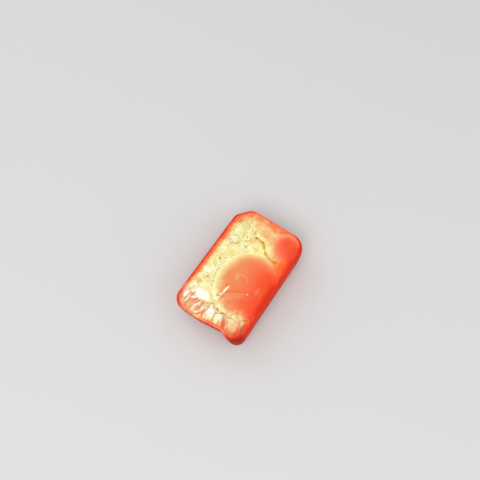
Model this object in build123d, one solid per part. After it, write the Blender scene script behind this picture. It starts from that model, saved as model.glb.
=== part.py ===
from build123d import *

import os
from math import atan2, cos, degrees, radians, sin, tan

# Copper ingot, poured into an open trough mould and still showing its free cast surface.
# It lies on the flat face that froze against the trough's floor.
# Frame: origin at the centre of the footprint on that flat face. +X runs along the length
# towards the end with the cut corner, +Y across the width, +Z up out of the cast surface.
# All sizes are in millimetres.

# Body: outer size at its widest level, just under the rolled rim
length = 41.6
width = 26.6
height = 11.0
draft_angle = 4.0      # slope of the walls, in degrees, from the mould's taper
rim_radius = 2.4       # the melt's surface tension rolls the upper edge over
foot_radius = 1.2      # where the walls meet the underside

# Corners and edges in plan
near_left_radius = 4.2       # corner at -X, +Y
near_right_radius = 3.6      # corner at -X, -Y
far_right_radius = 5.6       # corner at +X, -Y
cut_along_length = 4.9       # the cut corner at +X, +Y
cut_along_width = 4.2
cut_side_radius = 3.2        # where the cut meets the long side
cut_end_radius = 4.4         # where the cut meets the end
dent_depth = 1.2             # hollow in the near end
dent_from_right = 8.0        # its deepest point, from the -Y side
dent_left_span = 8.6         # gentle slope on the +Y side of the dent
dent_right_span = 3.4        # steep slope on the -Y side of the dent
dent_radius = 4.0
dent_left_radius = 9.0
dent_right_radius = 3.0

# Round pools, where the skin drew back from the clean metal
main_pool_radius = 10.8
main_pool_from_near_end = 17.7
main_pool_from_right = 8.7
side_pool_radius = 4.7
side_pool_from_far_end = 6.1
side_pool_from_right = 5.0
back_pool_radius = 2.5
back_pool_from_far_end = 5.3
back_pool_from_right = 13.7
pool_depth = 0.3             # floor below the skin
pool_wall_lean = 0.25        # the wall leans out by this much on its way up
pool_headroom = 1.2          # open height over the floor
lip_width = 1.5              # rolled edge of the skin round each pool
lip_height = 0.26
lip_inset = 0.5              # the lip dies away into the rolled rim

# Open crack in the skin between the pools, as steps from the main pool's centre
crack_width = 0.9
crack_depth = 0.45
crack_line = ((12.1, 0.9), (13.5, 2.4), (15.1, 3.9), (15.4, 6.4), (16.5, 8.1))
crack_bend_radius = 1.2

# Pleats in the skin, fanned out over the near end
pleat_headings = (147, 157, 167, 183, 200, 210)
pleat_hub_from_near_end = 15.6
pleat_hub_from_right = 12.6
pleat_start = 10.2           # distance from the hub to a pleat's fine tip
pleat_length = 9.0
pleat_width = 2.2            # at the wide end, past the rim
pleat_rise = 0.4             # height of the pleat's axis over the skin there

near_x = -length / 2
far_x = length / 2
left_y = width / 2
right_y = -width / 2


def plan_outline(inset):
    """The ingot seen from above, inset a little all round."""
    near, far = near_x + inset, far_x - inset
    left, right = left_y - inset, right_y + inset
    dent_y = right_y + dent_from_right
    corners = [
        ((near, left), near_left_radius - inset),
        ((near, dent_y + dent_left_span), dent_left_radius - inset),
        ((near + dent_depth, dent_y), dent_radius + inset),
        ((near, dent_y - dent_right_span), dent_right_radius - inset),
        ((near, right), near_right_radius - inset),
        ((far, right), far_right_radius - inset),
        ((far, left - cut_along_width), cut_end_radius - inset),
        ((far - cut_along_length, left), cut_side_radius - inset),
    ]
    points = [point for point, _ in corners]
    radii = [radius for _, radius in corners]
    return make_face(FilletPolyline(*points, radius=radii, close=True))


def cast_body(inset=0.0):
    """A block that tapers down, with a rolled rim and a rounded foot."""
    slope = radians(draft_angle)
    rolled_off = rim_radius * (tan(slope) + 1 / cos(slope) - 1)
    block = extrude(plan_outline(inset - rolled_off), height)
    walls = block.faces().sort_by(Axis.Z)[1:-1]
    block = draft(walls, Plane.XY.offset(height), -draft_angle)
    block = fillet(block.faces().sort_by(Axis.Z)[-1].edges(), rim_radius)
    return fillet(block.faces().sort_by(Axis.Z)[0].edges(), foot_radius)


def cap_radius(chord, rise):
    """Radius of the arc that rises by rise over a chord."""
    return (chord**2 / 4 + rise**2) / (2 * rise)


def pool_lip(radius):
    """The skin's swollen edge round a pool: its flank rises over half the lip's width."""
    flank = Cone(
        radius + lip_width,
        radius - lip_width / 2,
        3 * lip_height,
        align=(Align.CENTER, Align.CENTER, Align.MIN),
    )
    return Pos(0, 0, height - lip_height) * flank


def pool_hollow(radius):
    """The space over a pool's floor, out to the inner side of its lip."""
    floor_radius = radius - lip_width / 2
    hollow = Cone(
        floor_radius,
        floor_radius + pool_wall_lean,
        pool_headroom,
        align=(Align.CENTER, Align.CENTER, Align.MIN),
    )
    return Pos(0, 0, height - pool_depth) * hollow


def crack(start_x, start_y):
    """A round-bottomed groove that wanders over the cast surface."""
    section_radius = cap_radius(crack_width, crack_depth)
    points = [(start_x + dx, start_y + dy) for dx, dy in crack_line]
    path = FilletPolyline(*points, radius=crack_bend_radius)
    path = Pos(0, 0, height + section_radius - crack_depth) * path
    section = Plane(path @ 0, z_dir=path % 0) * Circle(section_radius)
    tips = [Pos(path @ end) * Sphere(section_radius) for end in (0, 1)]
    return sweep(section, path) + tips


def pleat(heading):
    """A furrow that opens from a fine tip in the skin and runs out over the rim."""
    section_radius = pleat_width / 2
    fall = degrees(atan2(section_radius - pleat_rise, pleat_length))
    cone = Cone(
        0,
        section_radius,
        pleat_length,
        rotation=(0, 90, 0),
        align=(Align.CENTER, Align.CENTER, Align.MIN),
    )
    x = near_x + pleat_hub_from_near_end + pleat_start * cos(radians(heading))
    y = right_y + pleat_hub_from_right + pleat_start * sin(radians(heading))
    return Pos(x, y, height) * Rot(0, 0, heading) * Rot(0, fall, 0) * cone


def make_ingot():
    """The one cast piece, with the waves and cracks of its free surface."""
    main_x = near_x + main_pool_from_near_end
    main_y = right_y + main_pool_from_right
    pools = [
        (main_x, main_y, main_pool_radius),
        (far_x - side_pool_from_far_end, right_y + side_pool_from_right, side_pool_radius),
        (far_x - back_pool_from_far_end, right_y + back_pool_from_right, back_pool_radius),
    ]
    drape = Pos(0, 0, lip_height) * cast_body(lip_inset)
    body = cast_body()
    for x, y, radius in pools:
        body += (Pos(x, y) * pool_lip(radius)) & drape
    for x, y, radius in pools:
        body -= Pos(x, y) * pool_hollow(radius)
    for heading in pleat_headings:
        body -= pleat(heading)
    return body - crack(main_x, main_y)


ingot = make_ingot()
ingot.label = "ingot"

os.makedirs("parts", exist_ok=True)
export_step(ingot, "parts/ingot.step")
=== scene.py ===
"""A small copper ingot, still red hot, cast in an open mould."""

import math

import bmesh
import bpy
import numpy as np
from mathutils import Matrix, Vector


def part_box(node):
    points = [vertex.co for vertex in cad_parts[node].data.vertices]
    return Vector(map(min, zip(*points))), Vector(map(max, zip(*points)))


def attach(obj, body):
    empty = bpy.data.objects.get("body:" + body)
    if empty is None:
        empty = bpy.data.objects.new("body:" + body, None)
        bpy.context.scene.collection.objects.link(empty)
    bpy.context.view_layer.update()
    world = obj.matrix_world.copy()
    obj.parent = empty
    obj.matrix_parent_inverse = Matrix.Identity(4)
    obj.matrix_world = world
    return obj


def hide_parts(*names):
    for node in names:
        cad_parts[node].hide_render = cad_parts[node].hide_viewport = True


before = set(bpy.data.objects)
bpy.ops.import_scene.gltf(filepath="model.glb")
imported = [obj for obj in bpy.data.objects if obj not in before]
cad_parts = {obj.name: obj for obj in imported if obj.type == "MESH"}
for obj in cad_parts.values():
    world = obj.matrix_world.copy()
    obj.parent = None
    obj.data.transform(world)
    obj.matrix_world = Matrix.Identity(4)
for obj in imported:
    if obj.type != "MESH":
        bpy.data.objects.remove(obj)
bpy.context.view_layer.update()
INGOT_LOW, INGOT_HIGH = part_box("ingot")

bl_info = {
    "name": "Hot copper ingot",
    "version": (1, 0, 0),
    "blender": (4, 5, 0),
    "location": "3D View > Sidebar > Ingot",
    "description": "A red-hot copper ingot with its cast skin, and the studio that shows it",
    "category": "Object",
}

MM = 0.001

# A distance past everything, and what counts as no length, as on the line and as parallel
FAR_OFF = 1e9
TINY = 1e-9
SLACK = 1e-6
PARALLEL = 1e-12


# Sizes and colours that a user may change


class IngotSizes(bpy.types.PropertyGroup):
    """Sizes of the ingot and of its skin."""

    length: bpy.props.FloatProperty(
        name="Length",
        description="Length of the ingot at its widest level",
        default=INGOT_HIGH.x - INGOT_LOW.x,
        unit="LENGTH",
    )
    width: bpy.props.FloatProperty(
        name="Width",
        description="Width of the ingot at its widest level",
        default=INGOT_HIGH.y - INGOT_LOW.y,
        unit="LENGTH",
    )
    height: bpy.props.FloatProperty(
        name="Height",
        description="Height of the flat part of the top above the floor",
        default=0.011,
        unit="LENGTH",
    )
    rim_radius: bpy.props.FloatProperty(
        name="Rim radius",
        description="Radius of the rolled rim round the top",
        default=0.0024,
        unit="LENGTH",
    )
    foot_radius: bpy.props.FloatProperty(
        name="Foot radius",
        description="Radius of the edge round the underside",
        default=0.0012,
        unit="LENGTH",
    )
    draft_angle: bpy.props.FloatProperty(
        name="Draft",
        description="Lean of the walls, which the mould needs to let the ingot out",
        default=math.radians(4.0),
        unit="ROTATION",
    )
    cell: bpy.props.FloatProperty(
        name="Cell",
        description="Spacing of the mesh over the top",
        default=0.000146,
        precision=6,
        unit="LENGTH",
    )


class StudioSizes(bpy.types.PropertyGroup):
    """The floor, the lamps and the camera."""

    floor_size: bpy.props.FloatProperty(
        name="Floor",
        description="Side of the square floor",
        default=3.0,
        unit="LENGTH",
    )
    floor_colour: bpy.props.FloatVectorProperty(
        name="Floor colour",
        description="Colour of the floor",
        default=(0.74, 0.73, 0.72),
        size=3,
        subtype="COLOR",
    )
    lens: bpy.props.FloatProperty(
        name="Lens",
        description="Focal length of the camera in millimetres",
        default=35.85,
    )


# Random but repeatable values over a plan position, all lengths in millimetres


def smooth(start, end, value):
    """0 at start, 1 at end, with a soft change between."""
    t = np.clip((value - start) / (end - start), 0, 1)
    return t * t * (3 - 2 * t)


def mixed(first, second, share):
    """The first value where share is 0, the second where it is 1."""
    return first * (1 - share) + second * share


def swell(away, width):
    """1 where away is 0, fading out past the width on both sides."""
    return np.exp(-((away / width) ** 2))


def hashed(i, j, k, seed):
    """A repeatable value from 0 to 1 for each whole-number cell."""
    h = (i.astype(np.int64) * 374761393 + j.astype(np.int64) * 668265263) & 0xFFFFFFFF
    h = (h + k.astype(np.int64) * 2147483647 + seed * 69069) & 0xFFFFFFFF
    h = ((h ^ (h >> 13)) * 1274126177) & 0xFFFFFFFF
    h = ((h ^ (h >> 16)) * 2246822519) & 0xFFFFFFFF
    return ((h ^ (h >> 15)) & 0xFFFFFF) / float(0xFFFFFF)


def blotch(x, y, z, size, seed):
    """A smooth value from -1 to 1 that changes over about one size."""
    cell, part = [], []
    for value in (x, y, z):
        low = np.floor(value / size)
        t = value / size - low
        cell.append(low)
        part.append(t * t * (3 - 2 * t))
    total = 0
    for corner in range(8):
        step = [(corner >> axis) & 1 for axis in range(3)]
        weight = 1
        for axis in range(3):
            weight = weight * (part[axis] if step[axis] else 1 - part[axis])
        total = total + weight * hashed(cell[0] + step[0], cell[1] + step[1], cell[2] + step[2], seed)
    return 2 * total - 1


def mottle(x, y, z, size, seed, layers=3):
    """Blotches of a size with finer ones added, from about -1 to 1."""
    total, weight = 0, 0
    for k in range(layers):
        turn = 0.6 + 1.1 * k
        across = x * np.cos(turn) - y * np.sin(turn)
        along = x * np.sin(turn) + y * np.cos(turn)
        total = total + blotch(across, along, z, size / 2**k, seed + 17 * k) / 2**k
        weight += 1 / 2**k
    return total / weight


def grains(x, y, size, seed):
    """Distance to the nearest grain's middle and to the next one, and a value for each grain."""
    u, v = x / size, y / size
    i, j = np.floor(u), np.floor(v)
    flat = np.zeros_like(i)
    near = np.full(x.shape, FAR_OFF)
    following = near.copy()
    tint = np.zeros(x.shape)
    for di in (-1, 0, 1):
        for dj in (-1, 0, 1):
            ci, cj = i + di, j + dj
            d = np.hypot(
                u - ci - 0.15 - 0.7 * hashed(ci, cj, flat, seed),
                v - cj - 0.15 - 0.7 * hashed(ci, cj, flat, seed + 5),
            )
            closer = d < near
            following = np.where(closer, near, np.minimum(following, d))
            tint = np.where(closer, hashed(ci, cj, flat, seed + 9), tint)
            near = np.where(closer, d, near)
    return near, following, tint


def line_distance(x, y, points):
    """Distance to the line through some points."""
    best = np.full(x.shape, FAR_OFF)
    for (ax, ay), (bx, by) in zip(points, points[1:]):
        dx, dy = bx - ax, by - ay
        span = dx * dx + dy * dy
        if span < TINY:
            continue
        t = np.clip(((x - ax) * dx + (y - ay) * dy) / span, 0, 1)
        best = np.minimum(best, np.hypot(x - ax - t * dx, y - ay - t * dy))
    return best


def spot(x, y, cx, cy, rx, ry, turn=0.0):
    """A soft oval: 1 in its middle, fading out past its two radii."""
    t = math.radians(turn)
    u = ((x - cx) * math.cos(t) + (y - cy) * math.sin(t)) / rx
    v = (-(x - cx) * math.sin(t) + (y - cy) * math.cos(t)) / ry
    return np.exp(-(u * u + v * v))


# Outline of the ingot in plan, the same as the solid's

NEAR_LEFT_RADIUS, NEAR_RIGHT_RADIUS = 4.2, 3.6
FAR_RIGHT_RADIUS = 5.6
CUT_ALONG, CUT_ACROSS = 4.9, 4.2
CUT_SIDE_RADIUS, CUT_END_RADIUS = 3.2, 4.4
DENT_DEPTH, DENT_RADIUS, DENT_FROM_RIGHT = 1.2, 4.0, 8.0
DENT_LEFT_SPAN, DENT_LEFT_RADIUS = 8.6, 9.0
DENT_RIGHT_SPAN, DENT_RIGHT_RADIUS = 3.4, 3.0
ARC_POINTS = 13


def plan_corners(length, width):
    """The corners of the outline with their radii, which turn the other way where negative."""
    near, far = -length / 2, length / 2
    left, right = width / 2, -width / 2
    dent_y = right + DENT_FROM_RIGHT
    return [
        (near, left, NEAR_LEFT_RADIUS),
        (near, dent_y + DENT_LEFT_SPAN, DENT_LEFT_RADIUS),
        (near + DENT_DEPTH, dent_y, -DENT_RADIUS),
        (near, dent_y - DENT_RIGHT_SPAN, DENT_RIGHT_RADIUS),
        (near, right, NEAR_RIGHT_RADIUS),
        (far, right, FAR_RIGHT_RADIUS),
        (far, left - CUT_ACROSS, CUT_END_RADIUS),
        (far - CUT_ALONG, left, CUT_SIDE_RADIUS),
    ]


def plan_outline(length, width):
    """Points along the outline, and the direction into the ingot at each."""
    corners = plan_corners(length, width)
    points, inward = [], []
    for k, (x, y, radius) in enumerate(corners):
        here = np.array((x, y))
        before = np.array(corners[k - 1][:2]) - here
        after = np.array(corners[(k + 1) % len(corners)][:2]) - here
        before /= np.linalg.norm(before)
        after /= np.linalg.norm(after)
        half = math.acos(float(before @ after)) / 2
        middle = (before + after) / np.linalg.norm(before + after)
        centre = here + middle * abs(radius) / math.sin(half)
        start = before * abs(radius) / math.tan(half) + here - centre
        end = after * abs(radius) / math.tan(half) + here - centre
        first = math.atan2(start[1], start[0])
        turn = (math.atan2(end[1], end[0]) - first + math.pi) % (2 * math.pi) - math.pi
        for t in np.linspace(0, 1, ARC_POINTS):
            spoke = np.array((math.cos(first + turn * t), math.sin(first + turn * t)))
            points.append(centre + abs(radius) * spoke)
            inward.append(-spoke if radius > 0 else spoke)
    return np.array(points), np.array(inward)


def ray_reach(sx, sy, dx, dy, points, inward):
    """How far each ray runs to the outline, the point it meets and the inward direction there."""
    reach = np.full(sx.shape, FAR_OFF)
    foot = np.zeros(sx.shape + (2,))
    normal = np.zeros(sx.shape + (2,))
    for k in range(len(points)):
        a, b = points[k - 1], points[k]
        ex, ey = b - a
        if ex * ex + ey * ey < TINY:
            continue
        cross = dx * ey - dy * ex
        cross = np.where(np.abs(cross) < PARALLEL, PARALLEL, cross)
        t = ((a[0] - sx) * ey - (a[1] - sy) * ex) / cross
        s = ((a[0] - sx) * dy - (a[1] - sy) * dx) / cross
        hit = (t > TINY) & (s > -SLACK) & (s < 1 + SLACK) & (t < reach)
        reach = np.where(hit, t, reach)
        part = np.clip(s, 0, 1)[..., None]
        foot = np.where(hit[..., None], a + part * (b - a), foot)
        turned = inward[k - 1] + part * (inward[k] - inward[k - 1])
        turned = turned / np.linalg.norm(turned, axis=-1, keepdims=True)
        normal = np.where(hit[..., None], turned, normal)
    return reach, foot, normal


def nearest_inward(x, y, points, inward):
    """The inward direction at the nearest place of the outline."""
    best = np.full(x.shape, FAR_OFF)
    nx, ny = np.zeros(x.shape), np.zeros(x.shape)
    for k in range(len(points)):
        a, b = points[k - 1], points[k]
        ex, ey = b - a
        span = ex * ex + ey * ey
        if span < TINY:
            continue
        t = np.clip(((x - a[0]) * ex + (y - a[1]) * ey) / span, 0, 1)
        d = np.hypot(x - a[0] - t * ex, y - a[1] - t * ey)
        closer = d < best
        best = np.where(closer, d, best)
        gx = mixed(inward[k - 1][0], inward[k][0], t)
        gy = mixed(inward[k - 1][1], inward[k][1], t)
        size = np.hypot(gx, gy)
        nx = np.where(closer, gx / size, nx)
        ny = np.where(closer, gy / size, ny)
    return nx, ny


def steps_to(distance, step):
    """How many steps reach a distance, or a great many where the step is nothing."""
    return np.where(np.abs(step) > TINY, distance / np.abs(step), FAR_OFF)


def drawn_in(x, y, length, width, edge_line, inward):
    """Places of a flat grid drawn in along rays from a spine, so that its edge falls on a line.

    Gives the new places, and where each ray meets the line with the inward direction there.
    """
    half_spine = (length - width) / 2
    spine = np.clip(x, -half_spine, half_spine)
    dx = x - spine
    still = np.hypot(dx, y) < SLACK
    dy = np.where(still, 1.0, y)
    with np.errstate(divide="ignore"):
        box_reach = np.minimum(steps_to(width / 2, dy), steps_to(length / 2 - np.abs(spine), dx))
    reach, hit, normal = ray_reach(spine, np.zeros_like(x), dx, dy, edge_line, inward)
    share = np.where(still, 1.0, reach / box_reach)
    x = np.where(still, x, spine + dx * share)
    y = np.where(still, y, dy * share)
    return x, y, hit, normal


# The cast skin: its relief, its heat and its shade

# Middles of the three pools, and the hub that the folds at the near end fan out from
MAIN_POOL = (-3.1, -4.6)
SIDE_POOL = (14.7, -8.3)
BACK_POOL = (15.4, 0.4)
FAN_HUB = (-5.2, -0.7)

# Streaks of the fan: width in degrees, length and seed
FOLDS = (6.0, 4.0, 91)
THIN_FOLDS = (2.4, 2.2, 95)
HAIRS = (1.7, 2.0, 97)


def main_ring(x, y):
    """Distance outside the crest round the main pool, negative inside the pool."""
    dx, dy = x - MAIN_POOL[0], y - MAIN_POOL[1]
    a = np.arctan2(dy, dx)
    radius = 10.75 + 0.40 * np.sin(2 * a) + 0.27 * np.cos(3 * a) + 0.28 * np.sin(3 * a)
    radius = radius + 0.08 * np.sin(9 * a + 1.0) + 0.05 * np.sin(17 * a)
    return np.hypot(dx, dy) - radius


def side_ring(x, y):
    """Distance outside the small pool in the far right corner."""
    dx, dy = x - SIDE_POOL[0], y - SIDE_POOL[1]
    return np.hypot(dx, dy) - 4.6 - 0.2 * np.sin(3 * np.arctan2(dy, dx) + 1)


def back_ring(x, y):
    """Distance outside the smallest pool, an oval near the far end."""
    return np.hypot((x - BACK_POOL[0]) / 0.80, y - BACK_POOL[1]) - 2.4


# Broad patches: middle, two radii, turn, heat, tone (below 0 is ochre, above 0 is pink)
PATCHES = [
    (-19.0, 7.9, 2.5, 1.6, 4, 0.65, 1.5),
    (-18.5, 7.8, 0.9, 0.6, 10, 0.72, 1.8),
    (-17.2, 7.5, 0.7, 0.5, 0, 0.70, 1.0),
    (-16.4, 6.5, 1.3, 0.7, -35, 0.63, 2.0),
    (-17.2, 4.40, 1.8, 0.45, -14, 0.66, 2.0),
    (-17.8, 4.35, 0.5, 0.5, 0, 0.67, 2.0),
    (-19.3, 3.5, 1.3, 0.33, -45, 0.49, 0.9),
    (-18.2, 2.30, 1.6, 0.50, 8, 0.62, 1.8),
    (-19.7, 1.9, 0.5, 0.4, 0, 0.61, 0.6),
    (-19.6, -1.6, 0.6, 2.2, 8, 0.77, 1.5),
    (-18.8, -3.8, 1.4, 0.6, 10, 0.67, 2.0),
    (-16.0, -4.4, 1.1, 0.4, 28, 0.70, 1.6),
    (-18.3, -5.40, 2.3, 0.90, 14, 0.46, 0.9),
    (-19.5, -5.0, 0.5, 0.9, 0, 0.64, 2.0),
    (-16.8, -6.0, 1.2, 0.55, 25, 0.62, 0.9),
    (-19.3, -6.6, 0.8, 0.6, 30, 0.44, 1.0),
    (-19.3, -8.6, 0.9, 1.2, 12, 0.54, 0.6),
    (-18.0, -7.9, 1.2, 1.2, 30, 0.62, 0.8),
    (-16.6, -10.2, 1.0, 0.6, 0, 0.56, 0.7),
    (-14.8, -9.3, 0.8, 0.6, 0, 0.62, 1.6),
    (-18.4, -9.9, 1.6, 0.7, -30, 0.46, 0.2),
    (-16.5, -11.6, 3.6, 0.9, 10, 0.40, 0.8),
    (-14.3, -11.9, 0.5, 0.6, -20, 0.34, -0.4),
    (-12.2, -11.4, 0.35, 0.8, -20, 0.40, -1.6),
    (-8.6, 6.9, 1.3, 1.1, 0, 0.87, 0.2),
    (-10.3, 9.6, 0.85, 1.6, 4, 0.73, 0.7),
    (-2.7, 8.6, 0.9, 0.5, 50, 0.87, -0.9),
    (-1.4, 9.4, 0.9, 0.4, -8, 0.88, -0.6),
    (-14.3, 10.4, 0.45, 1.0, 0, 0.80, 2.0),
    (7.0, 9.6, 0.9, 0.9, 0, 0.78, 1.6),
    (6.3, 7.8, 0.40, 0.9, 25, 0.86, -0.6),
    (7.2, 6.4, 0.9, 0.4, -30, 0.86, -0.8),
    (3.2, 6.0, 1.0, 0.9, 0, 0.92, -0.8),
    (10.9, 2.1, 1.6, 1.2, 0, 0.80, -0.1),
    (9.6, 4.3, 0.9, 0.5, 0, 0.87, -0.6),
    (8.8, 0.2, 1.1, 0.8, 0, 0.84, 0.2),
    (8.95, -3.65, 0.78, 0.62, 10, 0.75, -1.9),
    (11.2, -1.0, 1.7, 0.55, 52, 0.82, -1.5),
    (11.7, 0.8, 0.45, 1.1, 0, 0.83, -1.1),
    (13.1, 3.4, 1.0, 0.45, 10, 0.76, -0.4),
    (7.6, -5.0, 0.5, 3.0, -8, 0.77, 0.2),
    (8.5, -5.8, 0.50, 1.6, -6, 0.79, -1.1),
    (8.1, -8.2, 0.85, 1.5, 0, 0.61, -1.6),
    (7.6, -10.3, 2.9, 1.5, 0, 0.44, -2.0),
    (4.8, -10.9, 1.6, 0.7, 20, 0.43, -2.0),
    (8.2, -11.7, 2.4, 0.7, 0, 0.30, -1.6),
    (11.9, -11.8, 1.6, 0.5, 0, 0.22, 0.2),
    (13.8, -2.8, 2.6, 1.5, -25, 0.73, 0.2),
    (15.2, 0.1, 1.9, 2.3, -20, 0.73, 0.2),
    (18.8, -0.7, 1.0, 2.0, 4, 0.54, -0.3),
    (19.3, 0.9, 0.5, 0.7, 0, 0.47, -0.2),
    (19.2, -3.6, 0.6, 1.0, 0, 0.55, 0.8),
    (18.7, 4.7, 1.0, 1.9, 10, 0.59, 0.3),
    (18.0, 8.2, 1.2, 0.9, -50, 0.54, -0.3),
    (14.7, 10.4, 1.6, 0.6, -25, 0.64, 0.2),
    (-0.4, 11.75, 3.4, 0.45, 0, 0.54, -1.6),
    (11.4, 10.4, 2.2, 0.9, 4, 0.76, 0.1),
    (-10.3, 11.1, 1.2, 0.45, 0, 0.71, 0.5),
]

# Bright facets and nodules, the whitest of them partly painted highlights: middle, two radii, turn,
# heat, rise
BRIGHTS = [
    # White facets of the pleated apron, partly painted highlights
    (-16.1, 10.15, 1.45, 0.58, -3, 0.985, 0.12),
    (-17.0, 9.00, 1.55, 0.38, -4, 1.00, 0.12),
    (-14.35, 9.00, 0.45, 0.45, 0, 1.00, 0.10),
    (-14.6, 10.9, 0.3, 0.5, 0, 0.94, 0.04),
    (-13.5, 11.0, 0.3, 0.4, 0, 0.90, 0.04),
    (-12.7, 10.3, 0.8, 0.6, 0, 0.93, 0.06),
    (-12.7, 8.9, 0.8, 0.3, 0, 0.94, 0.05),
    (-15.8, 7.65, 1.30, 0.50, -62, 1.00, 0.12),
    (-17.0, 5.30, 1.65, 0.44, -25, 1.00, 0.16),
    (-19.4, 5.85, 0.60, 0.50, 10, 0.88, 0.08),
    (-18.6, 5.80, 0.28, 0.40, 0, 0.90, 0.06),
    (-19.1, 4.10, 1.00, 0.28, -58, 0.91, 0.12),
    (-16.8, 4.55, 0.50, 0.25, 0, 0.80, 0.03),
    (-17.3, 3.20, 0.90, 0.44, 0, 0.96, 0.14),
    (-15.6, 3.00, 0.50, 0.30, 10, 0.88, 0.05),
    (-19.6, 2.60, 0.20, 0.45, 30, 0.82, 0.04),
    (-16.4, 2.10, 0.70, 0.28, 15, 0.92, 0.05),
    (-19.2, 1.20, 0.60, 0.45, 20, 0.86, 0.05),
    (-17.1, 0.15, 2.75, 1.45, 6, 0.955, 0.20),
    (-16.7, 0.35, 2.15, 1.25, 14, 0.985, 0.03),
    (-17.2, -2.45, 2.10, 1.05, 4, 0.925, 0.16),
    (-16.0, -3.15, 1.25, 0.62, 25, 0.93, 0.10),
    (-16.8, -2.40, 1.50, 0.75, 0, 0.95, 0.04),
    (-16.3, -7.50, 1.80, 1.20, 40, 0.75, 0.10),
    (-15.5, -6.90, 0.55, 1.30, 0, 0.87, 0.05),
    (-16.7, -7.40, 0.90, 0.30, 20, 0.81, 0.05),
    (-15.5, -8.90, 0.50, 0.40, 0, 0.86, 0.05),
    (-15.2, -1.90, 0.90, 0.60, 0, 0.93, 0.03),
    (-12.1, 1.60, 0.95, 0.60, -40, 0.975, 0.14),
    (-11.2, 3.30, 0.75, 0.32, 40, 0.95, 0.04),
    (-11.3, 0.95, 0.75, 0.30, -12, 0.975, 0.08),
    (-10.0, 2.90, 0.90, 0.70, 0, 0.945, 0.06),
    # The white dash across the main pool, in two parts, and the bright dot at the fold's end: painted
    # highlights
    (-10.1, 0.92, 0.55, 0.35, -8, 0.99, 0.05),
    (-7.95, 0.56, 1.85, 0.40, -9, 1.00, 0.07),
    (-5.42, -6.36, 0.37, 0.44, -20, 0.72, 0.07),
    (-5.9, 9.30, 0.85, 1.50, 0, 0.99, 0.12),
    (-8.3, 9.60, 1.10, 0.80, 0, 0.94, 0.08),
    (-4.6, 8.10, 1.00, 0.90, 0, 0.96, 0.04),
    (3.3, 8.80, 1.10, 0.90, 0, 0.97, 0.10),
    (4.6, 7.00, 0.70, 0.90, 0, 0.945, 0.05),
    (8.2, 8.40, 0.90, 1.10, -20, 0.98, 0.10),
    (11.0, 8.50, 1.90, 0.95, 0, 0.96, 0.10),
    (10.6, 4.00, 1.20, 0.30, -2, 0.99, 0.08),
    (7.3, 0.60, 1.00, 1.20, 30, 0.96, 0.10),
    (8.0, 2.10, 0.80, 0.70, 30, 0.965, 0.08),
    (8.2, -2.60, 0.50, 1.60, -4, 0.92, 0.04),
    (10.8, -2.80, 0.70, 0.45, 30, 0.93, 0.04),
    (12.9, 0.50, 0.40, 0.90, 0, 0.93, 0.03),
    (13.1, 2.00, 0.70, 0.35, 0, 0.965, 0.05),
    (14.3, 6.75, 0.55, 0.22, 40, 0.97, 0.06),
    (15.2, 5.60, 0.50, 0.80, 0, 0.92, 0.06),
    (16.6, 5.50, 0.50, 0.70, -20, 0.88, 0.06),
    (15.9, 3.50, 0.40, 0.50, 0, 0.84, 0.06),
    (13.9, 5.40, 0.50, 0.50, 0, 0.93, 0.05),
    (19.1, 2.70, 0.50, 0.90, 10, 0.71, 0.05),
    (17.3, -4.20, 0.60, 1.00, 30, 0.66, 0.03),
    (17.2, 0.50, 0.40, 0.80, 0, 0.80, 0.03),
    (18.9, 1.80, 0.60, 0.50, 0, 0.70, 0.03),
    (12.3, -2.15, 1.40, 0.50, 20, 0.88, 0.02),
]

# Small pits: middle, radius, shade
PITS = [
    (-7.65, 7.85, 0.42, 0.9),
    (-8.1, 9.3, 0.35, 0.35),
    (-9.4, 5.05, 0.30, 0.8),
    (-7.9, 5.45, 0.30, 0.8),
    (-6.9, 5.90, 0.26, 0.7),
    (-6.0, 6.20, 0.24, 0.7),
    (-5.3, 6.35, 0.25, 0.7),
    (-4.3, 6.45, 0.28, 0.9),
    (-3.35, 6.30, 0.31, 1.0),
    (-2.4, 6.10, 0.24, 0.6),
    (-1.4, 6.15, 0.25, 0.6),
    (-0.7, 6.10, 0.23, 0.6),
    (0.1, 5.80, 0.19, 0.6),
    (0.7, 6.60, 0.27, 0.6),
    (1.8, 5.30, 0.21, 0.6),
    (2.8, 4.95, 0.25, 0.7),
    (3.6, 4.40, 0.23, 0.7),
    (4.4, 3.60, 0.19, 0.6),
    (4.9, 3.30, 0.17, 0.5),
    (5.6, 2.60, 0.21, 0.6),
    (6.2, 2.10, 0.19, 0.6),
    (6.8, 1.60, 0.21, 0.6),
    (-0.4, 8.20, 0.36, 1),
    (-11.1, 1.55, 0.34, 0.7),
    (-14.1, -5.80, 0.28, 0.9),
    (-14.3, 8.05, 0.28, 0.8),
    (-15.1, -2.95, 0.28, 0.7),
    (-13.4, 0.20, 0.22, 0.5),
    (-13.9, 1.05, 0.30, 0.6),
    (-15.6, 3.70, 0.30, 0.5),
    (9.0, -3.60, 0.50, 0.5),
    (9.6, -3.20, 0.26, 0.8),
    (12.2, 1.95, 0.36, 1.2),
    (12.0, -0.50, 0.34, 0.9),
    (9.6, -6.60, 0.32, 0.5),
    (8.9, 6.75, 0.28, 0.6),
    (10.9, 4.80, 0.38, 0.6),
    (7.4, 3.10, 0.34, 0.7),
    (7.1, 5.40, 0.34, 0.6),
    (12.3, 4.10, 0.28, 0.5),
    (8.4, 2.80, 0.26, 0.4),
    (13.6, 4.70, 0.30, 0.5),
    (10.9, 7.90, 0.40, 0.4),
    (12.2, 6.50, 0.30, 0.5),
    (9.2, 8.50, 0.30, 0.4),
    (12.0, 5.60, 0.30, 0.5),
    (10.4, 6.00, 0.28, 0.6),
    (4.6, 8.20, 0.30, 0.4),
    (-2.6, 7.00, 0.26, 0.4),
    (-5.4, 7.60, 0.26, 0.4),
    (-9.6, 11.1, 0.26, 0.5),
    (-7.3, 10.7, 0.34, 0.5),
    (0.9, 10.3, 0.30, 0.5),
    (2.0, 9.9, 0.26, 0.5),
    (8.2, 10.3, 0.28, 0.5),
]
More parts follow.
